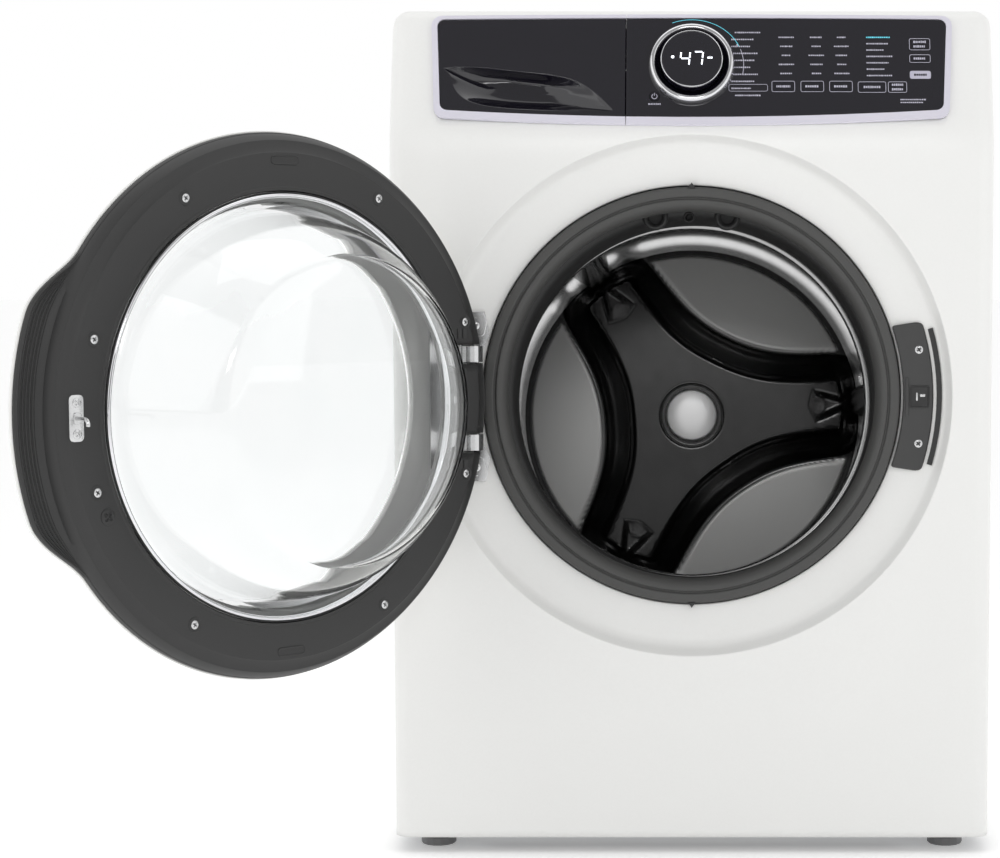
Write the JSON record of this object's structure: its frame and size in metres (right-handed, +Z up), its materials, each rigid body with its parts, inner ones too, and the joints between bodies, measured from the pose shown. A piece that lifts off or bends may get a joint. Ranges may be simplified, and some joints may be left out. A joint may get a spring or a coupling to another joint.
{
  "type": "front load washing machine",
  "caption": "Free-standing front load washing machine: white cabinet, sloping dark console with dial and drawer, round glass-bowl door hinged open on the left, tilted steel drum.",
  "frame": {"origin": "centre of the underside of the base pan", "axes": "+Z up, +Y from the front of the cabinet to its rear, +X to the right of a person facing the front"},
  "size_m": [1.0102, 1.1736, 0.965],
  "materials": {
    "white_enamel": "gloss white enamel",
    "galvanised_steel": "zinc coated",
    "white_plastic": "semi-gloss white",
    "grey_plastic": "satin mid grey",
    "dark_plastic": "fine textured charcoal",
    "fascia_gloss": "polished black with a violet cast",
    "satin_chrome": "satin chrome plate",
    "key_gloss": "smooth black",
    "gasket_rubber": "matt grey moulded rubber",
    "clear_glass": "clear polished",
    "stainless_steel": "polished stainless",
    "cast_aluminium": "as cast",
    "tub_plastic": "grey filled polypropylene",
    "concrete": "cast concrete",
    "motor_steel": "black paint",
    "belt_rubber": "ribbed black rubber",
    "board_green": "solder mask"
  },
  "bodies": {
    "cabinet": {"base_frame": "galvanised_steel", "control_board": "board_green", "control_fascia": "fascia_gloss", "counterweight": "concrete", "damper_left": "grey_plastic", "damper_right": "grey_plastic", "dispenser_housing": "tub_plastic", "display_boss": "fascia_gloss", "door_gasket": "gasket_rubber", "door_lock": "dark_plastic", "drain_pump": "grey_plastic", "drive_belt": "belt_rubber", "drive_motor": "motor_steel", "fascia_trim": "satin_chrome", "finger_recess_strip": "dark_plastic", "front_panel": "white_enamel", "hinge_bracket": "galvanised_steel", "lock_cover_plate": "dark_plastic", "rear_access_cover": "galvanised_steel", "rear_panel": "galvanised_steel", "side_panel_left": "white_enamel", "side_panel_right": "white_enamel", "top_panel": "white_enamel", "tub_front": "tub_plastic", "tub_rear": "tub_plastic", "water_inlet_valve": "white_plastic"},
    "door": {"door_outer_cover": "white_plastic", "door_inner_frame": "dark_plastic", "door_glass_bowl": "clear_glass", "door_glass_ring": "satin_chrome", "door_outer_window": "clear_glass", "door_latch_hook": "galvanised_steel", "hinge_leaf": "galvanised_steel", "hinge_pin": "stainless_steel"},
    "drawer": {"drawer_front": "fascia_gloss", "drawer_trim": "satin_chrome", "dispenser_tray": "white_plastic"},
    "dial": {"dial_ring": "satin_chrome"},
    "drum": {"drum_wrapper": "stainless_steel", "drum_back": "stainless_steel", "drum_lifter_1": "stainless_steel", "drum_lifter_2": "stainless_steel", "drum_lifter_3": "stainless_steel", "drum_hub_cap": "stainless_steel", "drum_spider": "cast_aluminium", "drum_pulley": "cast_aluminium"},
    "motor_rotor": {"motor_pulley": "motor_steel"},
    "power_button": {"power_key": "key_gloss"},
    "temperature_button": {"temperature_key": "key_gloss"},
    "soil_button": {"soil_key": "key_gloss"},
    "spin_button": {"spin_key": "key_gloss"},
    "options_button": {"options_key": "key_gloss"},
    "select_button": {"select_key": "key_gloss"},
    "start_button": {"start_key": "key_gloss"},
    "cancel_button": {"cancel_key": "key_gloss"},
    "dose_button": {"dose_key": "key_gloss"},
    "foot_front_left": {"levelling_foot_front_left": "grey_plastic"},
    "foot_front_right": {"levelling_foot_front_right": "grey_plastic"},
    "foot_rear_left": {"levelling_foot_rear_left": "grey_plastic"},
    "foot_rear_right": {"levelling_foot_rear_right": "grey_plastic"}
  },
  "joints": [
    {"name": "door_swing", "type": "hinge", "parent": "cabinet", "child": "door", "pos_m": [-0.262, -0.372, 0.512], "axis": [0, 0, 1], "range_deg": [-5, 134]},
    {"name": "drawer_slide", "type": "slide", "parent": "cabinet", "child": "drawer", "axis": [0, -1, 0], "range_m": [0, 0.2]},
    {"name": "dial_turn", "type": "hinge", "parent": "cabinet", "child": "dial", "pos_m": [0, -0.32849, 0.88709], "axis": [0, -0.9336, 0.3584], "continuous": true},
    {"name": "drum_spin", "type": "hinge", "parent": "cabinet", "child": "drum", "pos_m": [0, -0.334, 0.512], "axis": [0, 0.9945, -0.1045], "continuous": true},
    {"name": "motor_spin", "type": "hinge", "parent": "cabinet", "child": "motor_rotor", "pos_m": [0, -0.37184, 0.15198], "axis": [0, 0.9945, -0.1045], "continuous": true},
    {"name": "power_press", "type": "slide", "parent": "cabinet", "child": "power_button", "axis": [0, 0.9336, -0.3584], "range_m": [0, 0.001], "stiffness_N_per_m": 800},
    {"name": "temperature_press", "type": "slide", "parent": "cabinet", "child": "temperature_button", "axis": [0, 0.9336, -0.3584], "range_m": [0, 0.001], "stiffness_N_per_m": 800},
    {"name": "soil_press", "type": "slide", "parent": "cabinet", "child": "soil_button", "axis": [0, 0.9336, -0.3584], "range_m": [0, 0.001], "stiffness_N_per_m": 800},
    {"name": "spin_press", "type": "slide", "parent": "cabinet", "child": "spin_button", "axis": [0, 0.9336, -0.3584], "range_m": [0, 0.001], "stiffness_N_per_m": 800},
    {"name": "options_press", "type": "slide", "parent": "cabinet", "child": "options_button", "axis": [0, 0.9336, -0.3584], "range_m": [0, 0.001], "stiffness_N_per_m": 800},
    {"name": "select_press", "type": "slide", "parent": "cabinet", "child": "select_button", "axis": [0, 0.9336, -0.3584], "range_m": [0, 0.001], "stiffness_N_per_m": 800},
    {"name": "start_press", "type": "slide", "parent": "cabinet", "child": "start_button", "axis": [0, 0.9336, -0.3584], "range_m": [0, 0.001], "stiffness_N_per_m": 800},
    {"name": "cancel_press", "type": "slide", "parent": "cabinet", "child": "cancel_button", "axis": [0, 0.9336, -0.3584], "range_m": [0, 0.001], "stiffness_N_per_m": 800},
    {"name": "dose_press", "type": "slide", "parent": "cabinet", "child": "dose_button", "axis": [0, 0.9336, -0.3584], "range_m": [0, 0.001], "stiffness_N_per_m": 800},
    {"name": "foot_front_left_extend", "type": "slide", "parent": "cabinet", "child": "foot_front_left", "axis": [0, 0, -1], "range_m": [0, 0.012]},
    {"name": "foot_front_right_extend", "type": "slide", "parent": "cabinet", "child": "foot_front_right", "axis": [0, 0, -1], "range_m": [0, 0.012]},
    {"name": "foot_rear_left_extend", "type": "slide", "parent": "cabinet", "child": "foot_rear_left", "axis": [0, 0, -1], "range_m": [0, 0.012]},
    {"name": "foot_rear_right_extend", "type": "slide", "parent": "cabinet", "child": "foot_rear_right", "axis": [0, 0, -1], "range_m": [0, 0.012]}
  ],
  "couplings": [
    {"joint": "motor_spin", "follows": "drum_spin", "ratio": 12}
  ]
}
